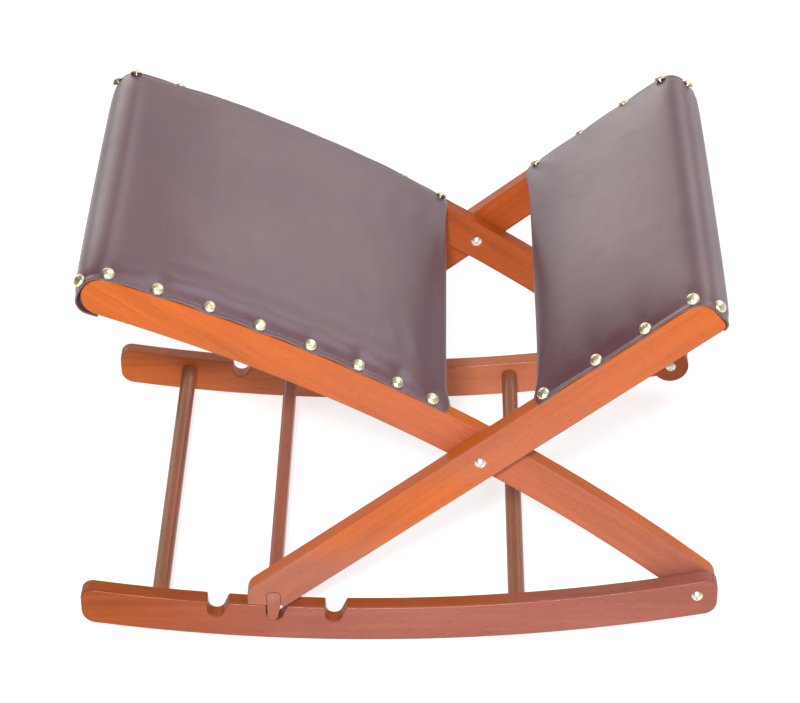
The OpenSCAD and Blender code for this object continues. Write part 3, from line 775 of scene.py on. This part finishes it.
def settle(sheet, pressure):
    """Lets the filling press the leather out between its nails."""
    before = [vertex.co.copy() for vertex in sheet.data.vertices]
    cloth = sheet.modifiers.new("settling", "CLOTH")
    leather = cloth.settings
    leather.quality = 6
    leather.mass = 0.3
    leather.tension_stiffness = leather.compression_stiffness = 15
    leather.shear_stiffness = 5
    leather.bending_stiffness = 5
    leather.shrink_min = 0.002                      # cut a little smaller than the filling
    leather.use_pressure = True
    leather.uniform_pressure_force = pressure
    leather.vertex_group_mass = "held"
    leather.effector_weights.gravity = 0
    cloth.point_cache.frame_start, cloth.point_cache.frame_end = 1, SETTLING_FRAMES
    for frame_number in range(1, SETTLING_FRAMES + 1):
        bpy.context.scene.frame_set(frame_number)
    choose(sheet)
    bpy.ops.object.modifier_apply(modifier=cloth.name)
    bpy.context.scene.frame_set(1)
    for vertex, place in zip(sheet.data.vertices, before):
        moved = vertex.co - place
        share = moved.length / (FURTHEST * MM)
        if share > 0.01:
            vertex.co = place + moved * (math.tanh(share) / share)


def finish_cover(sheet, pressure, body, *nodes):
    """Settles a cover, gives it its thickness and finishes, and fits it into the frame."""
    settle(sheet, pressure)
    sheet.vertex_groups.clear()
    choose(sheet)
    bpy.ops.object.shade_smooth()
    sheet.data.materials.append(FINISHES["leather"])
    sheet.data.materials.append(FINISHES["hem"])
    apply_modifier(sheet, "SOLIDIFY", thickness=LEATHER * MM, offset=0, material_offset_rim=1)
    apply_modifier(sheet, "SUBSURF", levels=1, render_levels=1)
    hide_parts(*nodes)
    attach(sheet, body)


def percent(shares, low, high):
    """Places from low to high, in percent of the way."""
    return [low + (high - low) * share / 100 for share in shares]


LARGE_START, LARGE_END = 41.5, 313      # where the nails' percentages start and end on the bars
SMALL_START, SMALL_END = 68, 219
large_rest = Rest(
    "large_rest_cover", on_bow, lower=LARGE_START, upper=LARGE_END + 2.4,
    end_parts=[turned(15.4, 90), (6.4, 0), turned(11, 90), (9, 0)],
    half_width=156, crown=13.2, shoulders=((6, 24), (3.5, 11)),
    nails=[percent([-0.3, 13.6, 28.4, 43, 58, 72.5, 84.5, 95.5], LARGE_END, LARGE_START),
           percent([-2.5, 11, 25.5, 40.5, 55, 70, 84.5, 98], LARGE_END, LARGE_START)],
    roll_nail=20.5,
    tightness=[[1.2, 1.2, 1.0, 0.7, 0.6, 0.7, 0.8, 1.3, 0.6],
               [0.3, 0.1, 0, 0, 0, 0, 0.1, 0.4, 0.3]])
small_rest = Rest(
    "small_rest_cover", on_outer_bar, lower=SMALL_START, upper=SMALL_END + 2.6 - HALF,
    end_parts=[turned(14.8, 90), (12.2, 0), turned(4.6, 86), (2.6, 0)],
    half_width=172, crown=11.8, shoulders=((6, 24), (4.5, 18)),
    nails=[percent([4, 36.5, 66.3, 94.2], SMALL_START, SMALL_END),
           percent([6.5, 38, 67.5, 92], SMALL_START, SMALL_END)],
    roll_nail=25,
    tightness=[[0.8, 1.0, 1.2, 1.3, 0.6], [0.4, 0.5, 0.4, 0.5, 0.3]])
large_cover = cover(large_rest)
finish_cover(large_cover, 19, "inner_frame", "large_rest_leather", "large_rest_foam")
small_cover = cover(small_rest)
finish_cover(small_cover, 34, "outer_frame", "small_rest_leather", "small_rest_foam")


# ---- Nails -----------------------------------------------------------------------------------

HEAD_RADIUS, HEAD_RISE, HEAD_RIM = 4.95, 2.7, 0.4
FLATS = 0.16            # how deep the hammer's flats go
SHANK_SHARE = 0.2       # the shank's width in the head's
SHANK_LENGTH = 9
ON_LEATHER = 0.8        # how high the heads stand over the leather's middle
UPRIGHT = 0.5           # how far the heads turn from the bar's square towards upright
OUT_OF_LINE = 0.6       # how far they stand outside the nails' line


def nail_head():
    """One domed head with a short rim and its shank, standing on the origin."""
    clear_selection()
    bpy.ops.mesh.primitive_uv_sphere_add(segments=28, ring_count=20, radius=HEAD_RADIUS * MM)
    head = bpy.context.object
    edit(head)
    bpy.ops.object.mode_set(mode="EDIT")
    bpy.ops.mesh.select_all(action="SELECT")
    bpy.ops.mesh.bisect(plane_co=(0, 0, 0.00001), plane_no=(0, 0, 1), clear_inner=True)
    bpy.ops.mesh.select_all(action="SELECT")
    bpy.ops.transform.resize(value=(1, 1, HEAD_RISE / HEAD_RADIUS))
    bpy.ops.object.mode_set(mode="OBJECT")
    for vertex in head.data.vertices:
        # beaten by hand: the dome has a few shallow flats
        x, y, z = vertex.co / MM
        share = z / HEAD_RISE
        flat = math.sin(1.9 * x + 0.7) * math.cos(1.7 * y - 0.4) + 0.3
        vertex.co.z -= MM * FLATS * share * flat
        vertex.select = share < 0.02
    bpy.ops.object.mode_set(mode="EDIT")
    bpy.ops.mesh.extrude_region_move(TRANSFORM_OT_translate={"value": (0, 0, -HEAD_RIM * MM)})
    bpy.ops.mesh.extrude_region_move()
    bpy.ops.transform.resize(value=(SHANK_SHARE, SHANK_SHARE, 1))
    bpy.ops.mesh.extrude_region_move(
        TRANSFORM_OT_translate={"value": (0, 0, -SHANK_LENGTH * MM)})
    bpy.ops.mesh.edge_face_add()
    bpy.ops.mesh.select_all(action="SELECT")
    bpy.ops.mesh.normals_make_consistent(inside=False)
    bpy.ops.object.mode_set(mode="OBJECT")
    head.data.transform(Matrix.Translation((0, 0, HEAD_RIM * MM)))
    bpy.ops.object.shade_smooth_by_angle(angle=math.radians(50))
    return head


def stand_on(normal, along, lean, sign, place, spin):
    """Where a head stands: on the leather, leaning out over the hem."""
    up = (Vector((normal.x, 0, normal.y)) + UPRIGHT * Vector((0, 0, 1))).normalized()
    across = Vector((0, sign, 0))
    up = up * math.cos(math.radians(lean)) + across * math.sin(math.radians(lean))
    third = up.cross(Vector((along.x, 0, along.y))).normalized()
    forward = third.cross(up)
    turn = Matrix((forward, third, up)).transposed().to_4x4()
    return Matrix.Translation(MM * place) @ turn @ Matrix.Rotation(spin, 4, "Z")


def nail_row(rest, side, head, body, leans):
    """A row of heads along one hem, as one piece."""
    where, sign = (("near", -1), ("far", 1))[side]
    rest_name = rest.name.replace("_cover", "")
    name = f"{rest_name}_nail_heads_{where}"
    row = []
    for number, distance in enumerate(rest.nails[side]):
        point, normal = rest.profile.at(distance)
        next_point, _ = rest.profile.at(distance + 1)
        foot = rest.place(point + ON_LEATHER * normal)
        along = (rest.place(next_point + ON_LEATHER * normal) - foot).normalized()
        out = Vector((-along.y, along.x))
        if out.dot(rest.place(point + 2 * normal) - rest.place(point)) < 0:
            out = -out
        copy = bpy.data.objects.new(f"{name}_{number}", head.data.copy())
        bpy.context.scene.collection.objects.link(copy)
        place = Vector((foot.x, sign * (rest.nail_line + OUT_OF_LINE), foot.y))
        copy.data.transform(stand_on(out, along, leans[side], sign, place, 1.3 * number + side))
        row.append(copy)
    clear_selection()
    for copy in row:
        copy.select_set(True)
    bpy.context.view_layer.objects.active = row[0]
    bpy.ops.object.join()
    nails = bpy.context.object
    nails.name = name
    nails.data.materials.append(FINISHES["brass"])
    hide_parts(f"{rest_name}_nails_{where}")
    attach(nails, body)


head = nail_head()
for rest, body, leans in ((large_rest, "inner_frame", (24, 42)),
                          (small_rest, "outer_frame", (24, 30))):
    for side in (0, 1):
        nail_row(rest, side, head, body, leans)
bpy.data.objects.remove(head)


# ---- Camera, floor and light -----------------------------------------------------------------

CAMERA_PLACE = (36.108, -1871.358, 1448.717)        # in millimetres, and the angles in degrees
CAMERA_AZIMUTH = 1.102
CAMERA_ELEVATION = 34.557
CAMERA_ROLL = -0.588
CAMERA_LENS = 126
LAMP_DISTANCE = 2.6                                 # in metres, from the stool's middle
LAMP_TARGET = Vector((0, 0, 0.15))


def aimed(place, azimuth, elevation, roll=0.0):
    """Stands a camera or lamp at a place, looking down at the stool."""
    a, e, r = (math.radians(value) for value in (azimuth, elevation, roll))
    ahead = Vector((-math.sin(a) * math.cos(e), math.cos(a) * math.cos(e), -math.sin(e)))
    level = Vector((math.cos(a), math.sin(a), 0))
    upright = level.cross(ahead)
    right = math.cos(r) * level + math.sin(r) * upright
    up = math.cos(r) * upright - math.sin(r) * level
    matrix = Matrix([[axis[row] for axis in (right, up, -ahead)] for row in range(3)]).to_4x4()
    matrix.translation = place
    return matrix


def add_camera():
    data = bpy.data.cameras.new("camera")
    data.lens = CAMERA_LENS
    data.sensor_width = 36
    data.clip_start = 0.05
    data.clip_end = 50
    camera = bpy.data.objects.new("camera", data)
    bpy.context.scene.collection.objects.link(camera)
    camera.matrix_world = aimed(
        MM * Vector(CAMERA_PLACE), CAMERA_AZIMUTH, CAMERA_ELEVATION, CAMERA_ROLL)
    bpy.context.scene.camera = camera


def add_floor():
    clear_selection()
    bpy.ops.mesh.primitive_plane_add(size=20)
    floor = bpy.context.object
    floor.name = "floor"
    paper = Finish("studio_paper", Base_Color=(0.46, 0.46, 0.46, 1), Emission_Color=(1, 1, 1, 1),
                   Emission_Strength=0.70)
    paper.give(Roughness=0.85 + paper.noise(paper.place(), scale=40) * 0.1)
    floor.data.materials.append(paper.material)


def add_lamp(name, azimuth, elevation, size, energy, colour=(1, 1, 1)):
    """A square lamp, turned to the stool's middle."""
    data = bpy.data.lights.new(name, "AREA")
    data.shape, data.size, data.size_y = "RECTANGLE", size, size
    data.energy, data.color = energy, colour
    lamp = bpy.data.objects.new(name, data)
    bpy.context.scene.collection.objects.link(lamp)
    matrix = aimed((0, 0, 0), azimuth, elevation)
    matrix.translation = matrix.to_3x3() @ Vector((0, 0, LAMP_DISTANCE)) + LAMP_TARGET
    lamp.matrix_world = matrix


def add_light():
    """A key lamp in front, a skylight, and a room with a bright wall behind either rest."""
    scene = bpy.context.scene
    scene.world = bpy.data.worlds.new("studio")
    room = Shading(scene.world, "Background")
    x, y, z = room.axes(room.node("ShaderNodeTexCoord").outputs["Generated"])
    left = x * -1
    behind = room.step(y, 0.30, 0.60)
    left_wall = room.between(left, (-0.02, 0.20), (0.50, 0.66)) \
        * room.between(z, (-0.06, 0.10), (0.32, 0.50))
    right_wall = (0.30 * room.step(x, -0.22, 0.05) + 0.70 * room.step(x, 0.16, 0.36)) \
        * (1 - room.step(x, 0.45, 0.65)) * room.between(z, (0.20, 0.36), (0.46, 0.62))
    walls = room.shades(z, [
        (0.0, (0.80, 0.77, 0.75)), (0.35, (0.52, 0.50, 0.50)), (0.9, (0.22, 0.22, 0.25))])
    walls = room.mix(room.step(left, 0.55, 0.72), walls, (0.10, 0.09, 0.09))
    glow = room.mix(behind * left_wall, (0, 0, 0), (2.6, 2.50, 2.43), "ADD")
    glow = room.mix(behind * right_wall, glow, (2.75, 2.62, 2.56), "ADD")
    room.give(Color=room.mix(1.0, walls, glow, "ADD"), Strength=1.0)
    scene.view_settings.view_transform = "Standard"
    add_lamp("key", -3, 39.5, 0.2, 62)
    add_lamp("skylight", 110, 60, 1.6, 26, (0.74, 0.82, 1.0))


add_camera()
add_floor()
add_light()
